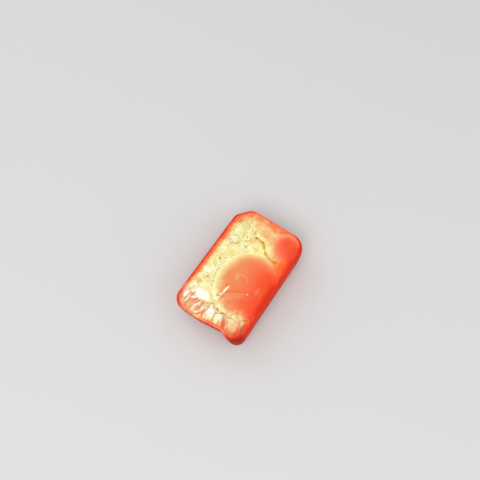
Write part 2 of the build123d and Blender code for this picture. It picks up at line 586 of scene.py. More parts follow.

# Cracks and creases, and painted shade beside two highlights: points, width, shade, depth
CREASES = [
    (
        [(9.4, -3.4), (10.3, -2.5), (11.5, -1.6), (12.1, -0.7), (12.25, 0.3), (12.2, 1.8)],
        0.26,
        0.75,
        0.40,
    ),
    ([(10.6, -2.2), (11.4, -1.7), (12.0, -1.0), (12.2, -0.2)], 0.20, 1.0, 0.12),
    ([(12.2, 1.9), (12.6, 2.8), (13.3, 3.4), (14.4, 3.4)], 0.24, 0.5, 0.20),
    ([(8.9, -4.1), (8.5, -5.0), (8.3, -6.2), (8.3, -8.2)], 0.26, 0.7, 0.25),
    ([(7.9, -6.8), (7.3, -8.1), (6.2, -9.3)], 0.26, 0.35, 0.12),
    ([(5.9, 8.4), (6.4, 7.8), (6.6, 7.0), (7.1, 6.35), (8.0, 6.05)], 0.18, 0.8, 0.20),
    ([(13.4, 6.3), (14.2, 6.1), (14.7, 6.6), (15.0, 7.3)], 0.17, 0.7, 0.15),
    ([(12.7, 7.5), (12.2, 6.7), (11.6, 6.1)], 0.18, 0.45, 0.08),
    ([(13.9, 7.9), (13.4, 7.2), (13.0, 6.9)], 0.16, 0.45, 0.08),
    ([(8.5, 9.0), (9.0, 8.4), (9.2, 7.9)], 0.16, 0.40, 0.06),
    ([(-7.9, 11.0), (-7.3, 10.7), (-6.7, 10.8)], 0.18, 0.6, 0.08),
    ([(-8.6, 5.2), (-7.4, 5.7), (-6.2, 6.15), (-5.0, 6.4)], 0.22, 0.30, 0.05),
    ([(10.0, 5.9), (10.6, 6.0), (11.2, 6.2)], 0.18, 0.5, 0.10),
    ([(9.0, 4.5), (9.8, 3.7), (10.7, 3.4), (11.6, 3.45)], 0.18, 0.7, 0.12),
    ([(7.5, -0.1), (8.0, -0.6), (9.2, -0.8)], 0.18, 0.5, 0.12),
    ([(17.3, 1.7), (17.5, 0.0), (17.4, -1.7), (18.2, -3.3), (19.0, -5.4)], 0.20, 0.35, 0.14),
    ([(13.2, -1.9), (14.2, -1.1), (15.0, -0.3)], 0.18, 0.3, 0.05),
    ([(-8.5, 8.5), (-8.0, 8.3)], 0.22, 0.5, 0.10),
    ([(-3.2, 8.0), (-3.0, 8.8), (-1.9, 9.4), (-0.9, 9.3)], 0.34, 0.22, 0.06),
    ([(0.1, 8.6), (1.0, 8.2), (1.5, 7.7)], 0.32, 0.40, 0.06),
    ([(0.5, 7.3), (0.7, 6.5)], 0.20, 0.5, 0.10),
    ([(-17.9, 9.65), (-16.9, 9.5), (-15.9, 9.15)], 0.16, 0.8, 0.18),
    ([(-18.4, 8.6), (-17.5, 8.3), (-16.9, 8.3)], 0.14, 0.35, 0.08),
    ([(-16.6, 8.6), (-15.6, 8.5), (-14.9, 8.3), (-14.4, 8.1)], 0.18, 0.7, 0.18),
    ([(-13.7, 9.9), (-12.6, 9.5)], 0.22, 0.4, 0.08),
    ([(-13.8, 8.5), (-12.4, 8.4), (-11.2, 8.4)], 0.16, 0.5, 0.10),
    ([(-17.2, 6.0), (-16.5, 5.6), (-15.4, 5.3)], 0.20, 0.95, 0.18),
    ([(-20.2, 5.2), (-19.8, 4.0), (-19.0, 3.0), (-18.2, 2.6)], 0.20, 0.6, 0.14),
    ([(-18.8, 5.0), (-18.3, 4.2), (-17.7, 3.8), (-16.4, 4.1), (-15.5, 4.0)], 0.20, 0.45, 0.14),
    ([(-19.2, 2.1), (-17.3, 2.0), (-16.8, 1.65), (-16.0, 1.9), (-15.4, 2.2)], 0.20, 0.55, 0.20),
    (
        [(-18.7, -1.6), (-17.6, -1.5), (-16.9, -1.25), (-16.2, -1.2), (-15.8, -1.9), (-15.1, -2.95)],
        0.20,
        1.0,
        0.28,
    ),
    ([(-15.1, 3.0), (-14.5, 2.2), (-14.0, 1.2)], 0.24, 0.85, 0.25),
    ([(-13.95, 1.1), (-14.4, 0.45), (-15.1, 0.0)], 0.24, 0.8, 0.18),
    ([(-13.0, 2.7), (-13.6, 1.9), (-13.9, 1.1)], 0.22, 0.4, 0.08),
    ([(-13.0, 2.7), (-12.5, 3.3), (-11.7, 4.1)], 0.22, 0.4, 0.08),
    ([(-14.65, -0.7), (-14.85, -1.2), (-15.05, -1.8)], 0.18, 1.3, 0.20),
    ([(-15.2, -2.9), (-14.85, -3.2), (-14.75, -4.1), (-14.95, -5.1), (-14.8, -6.2)], 0.24, 0.8, 0.22),
    ([(-14.8, -6.2), (-14.65, -7.2), (-14.65, -8.4)], 0.20, 0.6, 0.16),
    ([(-15.0, -2.8), (-14.8, -3.3), (-14.7, -4.3)], 0.28, 1.2, 0.10),
    ([(-13.8, -8.6), (-14.2, -8.7), (-14.15, -9.1), (-13.8, -9.3)], 0.20, 1.0, 0.16),
    ([(-13.7, -9.8), (-13.1, -10.2), (-12.6, -10.9)], 0.22, 0.85, 0.20),
    ([(-17.4, -9.9), (-16.6, -10.7), (-15.8, -10.2)], 0.22, 0.25, 0.08),
    ([(-11.1, 1.5), (-10.8, 0.9), (-10.4, 0.1)], 0.20, 0.65, 0.10),
    # Painted shade beside the white dash on the main pool
    ([(-6.9, 1.05), (-6.3, 0.95)], 0.22, 0.50, 0.03),
    ([(-9.4, 1.5), (-8.6, 1.5)], 0.25, 0.30, 0.02),
    ([(-9.0, -0.05), (-8.3, -0.25)], 0.20, 0.40, 0.03),
    # Painted shade beside the bright dot at the fold's end
    ([(-5.4, -5.5), (-5.1, -5.7)], 0.22, 0.32, 0.02),
    ([(-4.95, -6.6), (-4.9, -7.1)], 0.22, 0.38, 0.02),
]

# Faint film marks on the main pool: middle, two radii, turn, added heat
FILM = [
    (-8.1, -3.7, 3.2, 1.15, -42, 0.03),
    (-9.6, -2.4, 1.0, 0.6, -30, 0.03),
    (-2.7, -0.2, 1.1, 0.6, 0, 0.05),
    (-2.2, -2.3, 0.6, 0.8, 0, -0.04),
    (-2.9, -5.6, 2.1, 1.9, 0, 0.02),
    (-3.0, -8.4, 1.5, 0.85, 0, 0.08),
    (-3.1, -10.0, 2.5, 0.5, 3, 0.045),
    (0.0, -5.4, 0.45, 0.35, 0, 0.05),
    (0.9, -1.4, 0.6, 0.5, 0, 0.03),
    (-4.5, 3.2, 1.6, 0.8, -20, -0.05),
    (-9.0, 2.9, 0.9, 0.7, 0, -0.05),
    (-2.3, 2.8, 0.7, 0.7, 0, -0.05),
    (-11.3, -10.6, 1.6, 0.8, -30, 0.04),
]

# The points of a fold in the film, then the middle and two radii of a painted highlight, the
# bright dot at its end, and of an egg-shaped loop
FOLD_LINE = [(-8.5, -0.1), (-7.7, -1.2), (-6.8, -2.7), (-5.7, -5.6)]
HIGHLIGHT_DOT = (-5.42, -6.32, 0.45, 0.50)
EGG = (-2.75, -1.8, 1.85, 2.15)

# The white-hot mound and its foot, partly a painted highlight, and the corner darkened by
# painted shadow on the top and on the wall: middle, two radii, turn
MOUND = (-13.35, 5.9, 1.95, 3.0, 8)
MOUND_FOOT = (-13.7, 3.2, 0.8, 1.6, 8)
SHADOWED_CORNER = (-19.9, -12.0, 2.9, 2.0, -35)
SHADOWED_WALL_CORNER = (-19.7, -11.9, 2.9, 2.1, -35)

# Heat of the crest round the main pool: direction from its middle in degrees, heat
CREST_HEAT = [
    (-60, 0.26),
    (-45, 0.36),
    (-30, 0.50),
    (-15, 0.71),
    (0, 0.84),
    (15, 0.92),
    (30, 0.90),
    (50, 0.95),
    (90, 0.95),
    (140, 0.96),
    (165, 0.94),
    (180, 0.90),
    (195, 0.90),
    (203, 0.84),
    (209, 0.66),
    (217, 0.40),
    (245, 0.22),
]


def fan_streaks(x, y, width, length, seed):
    """Streaks that fan out over the near end from a hub on the main pool."""
    dx, dy = x - FAN_HUB[0], y - FAN_HUB[1]
    heading = np.degrees(np.arctan2(dy, dx)) % 360
    return mottle(heading / width, np.hypot(dx, dy) / length, np.zeros_like(x), 1.0, seed, 2)


def rim_limit(x, y, depth, wob, fine, ragged, even, fan, thin):
    """The most heat at each place, falling off towards the cooled rim, partly as painted shade."""
    broad = np.interp(
        x,
        [-19, -17, -15, -11.5, -8, 0, 3, 8, 11, 12.5, 14.5, 17],
        [0.75, 1.10, 0.62, 0.74, 0.95, 0.95, 1.05, 1.18, 1.02, 1.02, 1.55, 1.05],
    )
    broad = broad * (1 - 0.35 * smooth(17.0, 19.5, x) * smooth(9.5, 6.0, np.abs(y)))
    broad = broad + (0.5 - 0.3 * smooth(-12.0, -14.5, x)) * smooth(-8.0, -11.0, y)
    rim = np.interp(
        (depth + (0.18 - 0.12 * even) * wob + 0.08 * fine + (0.22 - 0.08 * even) * ragged) / broad,
        [0.0, 0.5, 0.8, 1.2, 1.6, 2.0, 2.4, 2.8, 3.2],
        [0.15, 0.17, 0.26, 0.41, 0.48, 0.56, 0.69, 0.85, 1.0],
    )
    rim = np.maximum(rim, 0.51 * smooth(17.5, 19.5, x) * smooth(9.5, 6.5, np.abs(y)))
    left_glow = smooth(-16.6, -15.2, x) * smooth(-11.5, -13.8, x) * smooth(9.0, 11.0, y)
    rim = np.maximum(rim, 0.60 * left_glow)
    near_rim = np.interp(
        depth + 0.08 * wob + 0.5 * fan + 0.35 * thin,
        [0.0, 0.3, 0.8, 1.4, 2.0, 2.6],
        [0.42, 0.54, 0.66, 0.76, 0.87, 1.0],
    )
    near = smooth(-16.5, -18.8, x) * smooth(-8.5, -5.5, y) * smooth(11.5, 8.5, y)
    rim = mixed(rim, near_rim, near)
    return rim + 0.03 * fine + 0.03 * wob + 0.05 * ragged * smooth(0.8, 1.4, depth)


def crust_grain(x, y, wob, fine):
    """Heat, shade and relief that the crust's grains, seams, pinholes and worm tracks add."""
    z = np.zeros_like(x)
    near, following, tint = grains(x + 0.35 * fine, y + 0.35 * wob, 1.15, 3)
    dome = np.clip(1 - near * 1.25, 0, 1)
    seam = np.clip(1 - (following - near) / 0.16, 0, 1) * (tint > 0.55)
    near, following, small_tint = grains(x + 0.2 * fine, y, 0.48, 7)
    small_dome = np.clip(1 - near * 1.2, 0, 1)
    small_seam = np.clip(1 - (following - near) / 0.2, 0, 1) * (small_tint > 0.6)
    pinhole = small_dome * (small_tint > 0.97)
    cloud = mottle(x, y, z, 1.6, 171, 2)
    worm = smooth(0.10, 0.0, np.abs(mottle(x, y, z, 1.5, 251, 2)))
    worm = worm * smooth(0.0, 0.35, mottle(x, y, z, 2.4, 253, 1)) * (0.5 + 0.5 * smooth(2.0, 8.0, x))
    heat = 0.05 * (tint - 0.5) + 0.05 * dome * tint - 0.03 * seam - 0.02 * small_seam + 0.05 * cloud
    shade = 0.22 * seam + 0.20 * small_seam + 0.45 * pinhole + 0.42 * worm
    shade = shade + 0.25 * smooth(0.25, 0.7, cloud)
    relief = 0.18 * dome * (0.4 + tint) + 0.07 * small_dome * (0.4 + small_tint) - 0.05 * seam
    return heat, shade, relief - 0.16 * pinhole - 0.05 * worm


def film_marks(x, y, wob, fine, ring):
    """Heat, shade and tone of the main pool's marks: a fold, a lens by it, an egg and smears."""
    inside = smooth(0.0, -1.0, ring)
    fold = swell(line_distance(x, y, FOLD_LINE), 0.19)
    under = 0.65 * (x + 10.5) + 0.76 * (y + 2.2) + 0.35 * swell(x + 8.6, 1.5) + 0.1 * wob
    beside = 0.89 * (x + 8.5) + 0.45 * (y + 0.1)
    lens = smooth(-0.15, 0.15, under) * smooth(0.45, 0.1, beside) * smooth(0.2, -1.0, y)
    cx, cy, rx, ry = EGG
    egg = np.hypot((x - cx + 0.15 * wob) / rx, (y - cy) / ry)
    heat = 0.035 * lens * inside - 0.045 * fold + 0.02 * smooth(1.0, 0.8, egg)
    heat = heat + 0.09 * swell(egg - 1, 0.17) * (0.25 + 0.75 * smooth(-3.4, -1.6, x))
    for cx, cy, rx, ry, turn, more in FILM:
        mark = smooth(0.15, 0.75, spot(x + 0.3 * wob, y + 0.15 * fine, cx, cy, rx, ry, turn))
        heat = heat + more * mark * inside
    shade = 0.42 * fold * smooth(-4.8, -2.0, y)
    ochre = smooth(0.3, 0.8, beside) * smooth(2.6, 1.2, beside)
    ochre = ochre * smooth(-6.5, -4.5, y) * smooth(0.5, -1.0, y)
    # The bright dot at the fold's end is a painted highlight, tinted pink here
    tone = 0.35 * lens * inside + 1.6 * spot(x, y, *HIGHLIGHT_DOT) - 0.6 * ochre
    return heat, shade, tone


def top_skin(x, y, depth):
    """Relief, heat, shade, gloss and tone over the top, at places given in plan."""
    z = np.zeros_like(x)
    wob = mottle(x, y, z, 3.0, 11)
    fine = mottle(x, y, z, 0.9, 23)
    ragged = mottle(x, y, z, 0.7, 221, 2)
    brushed = mottle((0.8 * x - 0.6 * y) / 0.45, (0.6 * x + 0.8 * y) / 2.2, z, 1.0, 131, 3)
    fan = fan_streaks(x, y, *FOLDS)
    thin = fan_streaks(x, y + 0.15 * wob, *THIN_FOLDS)
    hair = fan_streaks(x, y + 0.1 * fine, *HAIRS)
    ring, side, back = main_ring(x, y), side_ring(x, y), back_ring(x, y)
    around = (np.degrees(np.arctan2(y - MAIN_POOL[1], x - MAIN_POOL[0])) + 90) % 360 - 90

    # Where the pleated apron at the near end and the crust lie
    apron = smooth(-14.2, -15.4, x + 0.25 * wob - 0.9 * smooth(2.0, 8.0, y))
    crust = smooth(0.2, 1.0, ring) * smooth(3.4, 5.4, y + 0.8 * wob + 5.4 * smooth(3, 9, x))
    crust = crust * (1 - apron) * smooth(18.5, 14.5, x + 0.8 * wob + 0.25 * (y - 5))
    crust = crust * smooth(0.2, 1.2, back) * smooth(0.4, 1.4, side)

    # Open ground between the pools
    heat = 0.935 + 0.035 * wob + 0.015 * fine
    heat = heat - np.interp(x + 0.7 * wob, [12.5, 14.5, 16.5, 18.5, 20], [0, 0.08, 0.18, 0.29, 0.37])
    heat = heat + (0.12 * brushed + 0.06 * fine) * smooth(12.0, 14.0, x) - 0.015 * crust
    heat = heat - 0.36 * smooth(-2.5, -9.5, y) * smooth(4.0, 9.0, x)
    heat = heat - 0.34 * smooth(-9.0, -12.4, y)
    tone = 0.35 * crust + 0.3 * apron + 0.25 * wob + 0.2 * smooth(12.0, 15.0, x)
    tone = tone + 0.8 * smooth(17.0, 18.5, x) * smooth(2.5, 4.5, y)
    pinker = 1.6 * smooth(-10.5, -12.5, x) * smooth(7.0, 9.0, y)
    tone = tone + np.maximum(1.3 * smooth(-12.0, -15.5, x), pinker)
    tone = tone - 0.25 * crust * smooth(-0.2, 0.5, mottle(x, y, z, 3.4, 151, 2))

    # The rim has cooled, its outer edge darker partly as painted shade, and along the left side
    # it is straight and ochre
    even = smooth(6.0, 9.0, y) * smooth(-13.0, -10.0, x)
    rim = rim_limit(x, y, depth, wob, fine, ragged, even, fan, thin)
    ochre = smooth(0.8, 0.55, rim) * smooth(0.0, 6.0, y) * smooth(-13.0, -10.0, x)
    tone = tone - (1.0 - 0.6 * smooth(4.0, 9.0, x)) * ochre
    tone = tone - 1.2 * even * smooth(1.5, 0.9, depth)
    heat = np.minimum(heat, rim)

    # Pleated apron, and the patches over it and the open ground
    base = 0.78 + 0.17 * fan + 0.04 * wob - 0.14 * smooth(-7.0, -11.5, y)
    heat = mixed(heat, np.minimum(base, rim + 0.04), apron)
    relief = 0.05 * wob + 0.015 * fine + (0.20 * fan + 0.07 * thin) * apron
    tone = tone + 0.4 * fan * apron
    for cx, cy, rx, ry, turn, level, hue in PATCHES:
        patch = smooth(0.12, 0.85, spot(x + 0.25 * fine, y + 0.25 * wob, cx, cy, rx, ry, turn))
        level = level + 0.06 * fan * apron + 0.03 * fine
        heat = mixed(heat, np.minimum(level, rim + 0.06), patch)
        tone = mixed(tone, hue, patch)
    skirt = smooth(-9.5, -10.8, y) * smooth(-9.5, -12.5, x)
    heat = heat + 0.07 * thin * apron + 0.10 * thin * skirt
    # Painted shade in the dim gaps between the apron's pleats
    pleat_gap_shade = 0.5 * apron * np.clip(0.85 - heat, 0, 0.3)
    # Painted shadow darkens the corner at the near end's right side
    heat = heat * (1 - 0.70 * smooth(0.0, 0.9, spot(x, y, *SHADOWED_CORNER)))

    # Main pool and the crest round it, whose glow spreads inward
    pool = np.interp(
        y,
        [-12.6, -12.0, -11.0, -9.7, -7.4, -5.1, -2.8, -0.5, 1.8, 4.1],
        [0.13, 0.18, 0.30, 0.37, 0.41, 0.47, 0.51, 0.56, 0.59, 0.63],
    )
    pool = pool + 0.05 * mottle(x, y, z, 5.0, 41, 3) + 0.015 * fine
    crest_heat = np.interp(around, *zip(*CREST_HEAT))
    crest_heat = crest_heat + 0.02 * fine + 0.02 * wob + 0.03 * ragged
    crest_heat = np.minimum(crest_heat, rim + 0.10)
    narrowed = 0.55 + 0.45 * swell(y + 4.3, 1.6) - 0.15 * smooth(-6.0, -8.5, y)
    inner = ring - narrowed * smooth(-9.0, -13.0, x)
    glow = np.interp(
        inner,
        [-4.5, -3.4, -2.6, -2.0, -1.6, -1.2, -0.8, -0.4, 0.2],
        [0.0, 0.09, 0.20, 0.31, 0.41, 0.53, 0.70, 0.90, 1.0],
    )
    feather = mottle(around / 5.0, ring / 3.0, z, 1.0, 231, 3) + 0.5 * mottle(x, y, z, 0.8, 241, 2)
    feather = (0.05 + 0.25 * smooth(135, 155, around)) * feather
    glow = np.clip(glow + feather * swell(ring + 1.6, 1.5), 0, 1)
    within = smooth(0.5, 0.0, inner)
    heat = mixed(heat, pool + (crest_heat - pool) * glow, within)
    crest = 0.9 * swell(inner - 0.15, 0.5) * smooth(-60, -25, around)
    heat = mixed(heat, crest_heat, crest)
    pool_tone = 0.15 - 0.2 * smooth(-3.0, -6.0, y) + 0.6 * glow * smooth(60, 150, around) + 0.05 * wob
    tone = mixed(tone, pool_tone, within)

    # Small pool, with a soft upper left side and a rippled ring at its right
    across = 0.7 * (y - SIDE_POOL[1]) - 0.7 * (x - 15.6)
    side_heat = 0.395 + 0.15 * smooth(0.0, 5.5, across) - 0.10 * smooth(-8.5, -12.2, y)
    side_heat = side_heat + 0.02 * brushed
    soft = 1.0 + 0.5 * smooth(0.0, 4.0, across)
    inside = smooth(0.8, -1.4, side / soft)
    heat = mixed(heat, side_heat, inside)
    tone = mixed(tone, 0.65, inside)
    turned = np.degrees(np.arctan2(y - SIDE_POOL[1], x - SIDE_POOL[0]))
    ripple = np.sin(np.radians(turned) * 34 + 2 * wob)
    crest = 0.85 * swell(side + 0.3, 0.75) * smooth(15.5, 17.8, x) * smooth(-75, -40, turned)
    crest_heat = 0.66 + 0.03 * ripple - 0.12 * smooth(-8.0, -11.0, y)
    heat = mixed(heat, np.minimum(crest_heat, rim + 0.12), crest)

    # Granular crust, and the dark hairs over the apron
    grain_heat, grain_shade, grain_relief = crust_grain(x, y, wob, fine)
    heat = heat + crust * grain_heat
    heat = heat + crust * np.minimum(0, 0.972 - heat)
    shade = pleat_gap_shade + 0.20 * smooth(0.2, 0.6, brushed) * smooth(12.5, 14.0, x) * smooth(0.3, 1.2, side)
    shade = shade + 0.32 * smooth(0.05, 0.5, hair) * apron * smooth(0.6, 1.6, depth)
    shade = shade + (0.12 + 0.45 * smooth(-0.1, 0.6, thin)) * skirt
    shade = shade + crust * grain_shade
    relief = relief + crust * grain_relief
    relief = relief * (1 - 0.75 * smooth(0.2, -1.0, ring)) * (1 - 0.7 * smooth(0.4, -0.8, side))

    # Sunk floor and raised lip of each pool: its ring, floor depth and reach, lip height and width
    for edge, sunk, reach, raised, width in (
        (ring, 0.30, (-0.2, -1.8), 0.24, 0.6),
        (side, 0.30, (-0.2, -1.6), 0.22, 0.6),
        (back, 0.26, (-0.1, -1.0), 0.16, 0.5),
    ):
        relief = relief - sunk * smooth(*reach, edge) + raised * swell(edge - 0.1, width)

    # White-hot mound, partly a painted highlight, and the dark specks along the crest beside it
    mound = smooth(0.22, 0.62, spot(x, y, *MOUND))
    mound = np.maximum(mound, smooth(0.3, 0.8, spot(x, y, *MOUND_FOOT)))
    level = 0.995 - 0.035 * smooth(-13.0, -11.8, x) - 0.06 * smooth(3.8, 2.2, y)
    heat = mixed(heat, level - 0.01 * fine, mound)
    near_crest = swell(ring - 0.4, 0.9) * smooth(130, 150, around) * smooth(-10.0, -7.5, y)
    shade = shade + 0.5 * smooth(0.0, 0.7, mottle(x, y, z, 0.7, 211, 2)) * near_crest
    shade = shade * (1 - mound)
    tone = mixed(tone, 0.7, mound)
    relief = relief + 0.30 * mound

    # Bright facets and nodules, the whitest of them partly painted highlights
    for cx, cy, rx, ry, turn, level, rise in BRIGHTS:
        patch = spot(x + 0.25 * fine, y + 0.20 * wob, cx, cy, rx, ry, turn)
        patch = patch * (1 + (0.3 * fan + 0.4 * thin) * apron)
        patch = smooth(0.14 + 0.12 * apron, 0.76 - 0.20 * apron, patch)
        heat = mixed(heat, np.maximum(heat, level + 0.02 * fine), patch)
        shade = shade * (1 - 0.6 * patch)
        relief = relief + rise * patch

    # Pits and cracks are golden between the pools, brown over the apron, olive elsewhere
    golden = smooth(6.0, 8.5, x) * smooth(5.0, 3.0, y)
    warmer = 0.4 * golden + 0.45 * smooth(-13.0, -14.5, x + 1.4 * smooth(-2.5, -1.0, y))
    for cx, cy, radius, dark in PITS:
        pit = smooth(0.05, 0.75, spot(x + 0.06 * fine, y, cx, cy, radius, radius))
        shade = np.maximum(shade, (0.85 - 0.25 * warmer) * min(dark, 1.3) * pit)
        heat = heat - (0.02 + 0.03 * warmer) * dark * pit
        tone = tone - 1.2 * golden * pit
        relief = relief - 0.22 * min(dark, 1.2) * pit
    wander = 0.14 * blotch(x, y, z, 0.8, 51)
    for points, width, dark, deep in CREASES:
        away = line_distance(x + wander, y - wander, points)
        crease = swell(away, width) * (0.85 + 0.3 * fine)
        shade = np.maximum(shade, (0.95 - 0.5 * warmer) * dark * crease)
        heat = heat - dark * ((0.03 + 0.12 * warmer) * crease + 0.02 * swell(away, 2.6 * width))
        tone = tone - 1.0 * golden * crease
        relief = relief - deep * crease

    film_heat, film_shade, film_tone = film_marks(x, y, wob, fine, ring)
    heat = np.clip(heat + film_heat, 0, 1)
    shade = np.clip(np.maximum(shade, film_shade), 0, 1)
    tone = np.clip(tone + film_tone, -2, 2)
    gloss = smooth(-0.9, -2.8, np.minimum(ring, side))
    return relief, heat, shade, gloss, tone


def wall_skin(x, y, z, height):
    """Relief, heat and shade down the walls, at places given in the ingot's own frame."""
    lap = mottle(x * 0.35, y * 0.35, z * 1.6, 1.6, 61)
    pock = mottle(x, y, z, 0.9, 71)
    high = z / height

    # The melt rose in steps, which left fine wavy lines round the wall
    level = z / 2.3 + 0.55 * mottle(x, y, z * 0.3, 7.0, 65, 2)
    step = level - np.floor(level)
    lined = smooth(-0.2, 0.3, mottle(x, y, z, 5.0, 67, 2))
    lined = lined * smooth(0.92, 0.75, high) * smooth(0.1, 0.2, high)
    line = swell(step - 0.5, 0.07) * lined
    scale = smooth(0.05, 0.40, mottle(x * 0.7, y * 0.7, z * 1.5, 2.2, 81, 4)) * smooth(0.95, 0.5, high)
    pits = smooth(0.62, 0.75, mottle(x, y, z, 0.55, 87, 1)) * smooth(0.9, 0.7, high)
    relief = 0.05 * lap + 0.02 * pock - 0.09 * line + 0.06 * (step - 0.5) * lined
    relief = relief - 0.02 * scale - 0.07 * pits
    heat = np.interp(high, [0.0, 0.15, 0.4, 0.7, 0.88, 1.0], [0.0, 0.03, 0.08, 0.13, 0.17, 0.20])
    near = smooth(-18.0, -20.0, x) * smooth(-9.0, -6.0, y) * smooth(11.5, 8.5, y)
    far = smooth(17.5, 19.8, x) * smooth(9.5, 6.5, np.abs(y))
    streaks = fan_streaks(x, y, *FOLDS) + 0.7 * fan_streaks(x, y, *THIN_FOLDS)
    heat = heat + near * smooth(0.76, 0.91, high) * (0.42 + 0.20 * streaks)
    left = smooth(-16.6, -15.2, x) * smooth(-11.5, -13.8, x) * smooth(10.0, 12.0, y)
    # A painted highlight along the top edge of the cut corner at the far end
    cut_edge_highlight = smooth(15.5, 17.0, x) * smooth(7.5, 9.0, y)
    heat = heat + far * smooth(0.72, 0.93, high) * (0.30 + 0.12 * pock)
    heat = heat + (0.26 * left + 0.12 * cut_edge_highlight) * smooth(0.82, 0.95, high)
    # Painted shadow darkens the same corner down the wall
    heat = heat * (1 - 0.7 * smooth(0.1, 0.8, spot(x, y, *SHADOWED_WALL_CORNER)))
    heat = heat + 0.04 * lap + 0.015 * pock + 0.03 * line - 0.03 * scale
    # Painted shadow in a strip along the upper walls at both ends
    end_shadow_band = smooth(0.6, 0.75, high) * smooth(0.92, 0.84, high)
    shade = 0.35 * scale + 0.3 * pits + 0.25 * (near + far) * end_shadow_band
    return relief, np.clip(heat, 0, 1), np.clip(shade, 0, 1)


# Material of the skin


def new_material(name):
    """A material with an empty node tree, its principled shader and its output."""
    material = bpy.data.materials.new(name)
    material.use_nodes = True
    nodes, links = material.node_tree.nodes, material.node_tree.links
    nodes.clear()
    shader = nodes.new("ShaderNodeBsdfPrincipled")
    output = nodes.new("ShaderNodeOutputMaterial")
    links.new(shader.outputs["BSDF"], output.inputs["Surface"])
    return material, nodes, links, shader


def linear(code):
    """A colour given as three 0 to 255 codes, as the light it stands for."""
    out = []
    for value in code:
        c = value / 255
        out.append(c / 12.92 if c <= 0.04045 else ((c + 0.055) / 1.055) ** 2.4)
    return (*out, 1.0)


# Values that the mesh gives the material at each vertex. The plain tone leaves the colour as it
# is, a skin tone of 1 adds one tone step to it, and the walls have one gloss all over
VALUES = ("warmth", "shade", "gloss", "tone")
PLAIN_TONE = 0.5
TONE_STEP = 0.25
WALL_GLOSS = 0.35

# What full shade multiplies the glow by, and the part of the glow that the base colour takes
SHADED = (0.42, 0.33, 0.10, 1)
BASE_PART = (0.44, 0.44, 0.44, 1)
GLOW_STRENGTH = 0.62

# Colour of the glow at each heat
HEAT_COLOURS = [
    (0.00, (140, 18, 8)),
    (0.12, (196, 44, 22)),
    (0.25, (236, 57, 27)),
    (0.38, (251, 88, 48)),
    (0.50, (251, 122, 80)),
    (0.62, (246, 150, 95)),
    (0.74, (246, 190, 125)),
    (0.86, (246, 222, 148)),
    (0.94, (249, 242, 165)),
    (1.00, (254, 251, 228)),
]


def hot_copper():
    """Copper that still glows, from a dark oxide red through orange to near white."""
    material, nodes, links, shader = new_material("hot_copper")

    def value_of(name):
        node = nodes.new("ShaderNodeAttribute")
        node.attribute_name = name
        return node.outputs["Fac"]

    def maths(operation, first, second):
        node = nodes.new("ShaderNodeMath")
        node.operation = operation
        for socket, value in zip(node.inputs, (first, second)):
            if isinstance(value, (int, float)):
                socket.default_value = value
            else:
                links.new(value, socket)
        return node.outputs[0]

    def noise(scale, detail, roughness=0.55):
        node = nodes.new("ShaderNodeTexNoise")
        node.inputs["Scale"].default_value = scale
        node.inputs["Detail"].default_value = detail
        node.inputs["Roughness"].default_value = roughness
        links.new(place.outputs["Object"], node.inputs["Vector"])
        return node.outputs["Fac"]

    def multiplied(factor, colour, by):
        node = nodes.new("ShaderNodeMix")
        node.data_type = "RGBA"
        node.blend_type = "MULTIPLY"
        socket = {s.identifier: s for s in node.inputs}
        if isinstance(factor, float):
            socket["Factor_Float"].default_value = factor
        else:
            links.new(factor, socket["Factor_Float"])
        links.new(colour, socket["A_Color"])
        socket["B_Color"].default_value = by
        return {s.identifier: s for s in node.outputs}["Result_Color"]

    place = nodes.new("ShaderNodeTexCoord")
    heat, shade, gloss, tone = [value_of(name) for name in VALUES]
    speckle = noise(2600, 4)
    rough = maths("SUBTRACT", 1.0, gloss)
    amount = maths("ADD", 0.03, maths("MULTIPLY", rough, 0.12))
    wander = maths("MULTIPLY", maths("SUBTRACT", speckle, 0.5), amount)
    warm = maths("ADD", heat, wander)

    ramp = nodes.new("ShaderNodeValToRGB")
    stops = ramp.color_ramp.elements
    stops[0].color = linear(HEAT_COLOURS[0][1])
    stops[-1].color = linear(HEAT_COLOURS[-1][1])
    for warmth, code in HEAT_COLOURS[1:-1]:
        stops.new(warmth).color = linear(code)
    links.new(warm, ramp.inputs["Fac"])

    # The tone moves the colour between ochre and pink by its blue alone
    split = nodes.new("ShaderNodeSeparateColor")
    joined = nodes.new("ShaderNodeCombineColor")
    links.new(ramp.outputs["Color"], split.inputs["Color"])
    links.new(split.outputs["Red"], joined.inputs["Red"])
    links.new(split.outputs["Green"], joined.inputs["Green"])
    blue = maths("MULTIPLY", split.outputs["Blue"], maths("ADD", tone, 1 - PLAIN_TONE))
    links.new(blue, joined.inputs["Blue"])
    glow = multiplied(shade, joined.outputs["Color"], SHADED)
    links.new(multiplied(1.0, glow, BASE_PART), shader.inputs["Base Color"])
    links.new(glow, shader.inputs["Emission Color"])
    shader.inputs["Emission Strength"].default_value = GLOW_STRENGTH

    links.new(maths("ADD", 0.15, maths("MULTIPLY", gloss, 0.40)), shader.inputs["Metallic"])
    fine = noise(5200, 3)
    roughness = maths("ADD", maths("MULTIPLY", rough, 0.42), 0.24)
    roughness = maths("ADD", roughness, maths("MULTIPLY", fine, 0.14))
    links.new(roughness, shader.inputs["Roughness"])
    shader.inputs["Specular IOR Level"].default_value = 0.18
    bump = nodes.new("ShaderNodeBump")
    bump.inputs["Distance"].default_value = 0.05 * MM
    links.new(maths("ADD", 0.10, maths("MULTIPLY", rough, 0.5)), bump.inputs["Strength"])
    links.new(speckle, bump.inputs["Height"])
    links.new(bump.outputs["Normal"], shader.inputs["Normal"])
    return material


# The ingot

# The grid of the top ends where the rim has turned by this angle, in degrees
EDGE_TURN = 45

# Depth inside the outline from which the top's relief is whole, and how far its colours blend
# with the wall's on each side of the grid's edge
WHOLE_SKIN = 2.0
BLEND_IN, BLEND_OUT = 0.5, 0.1

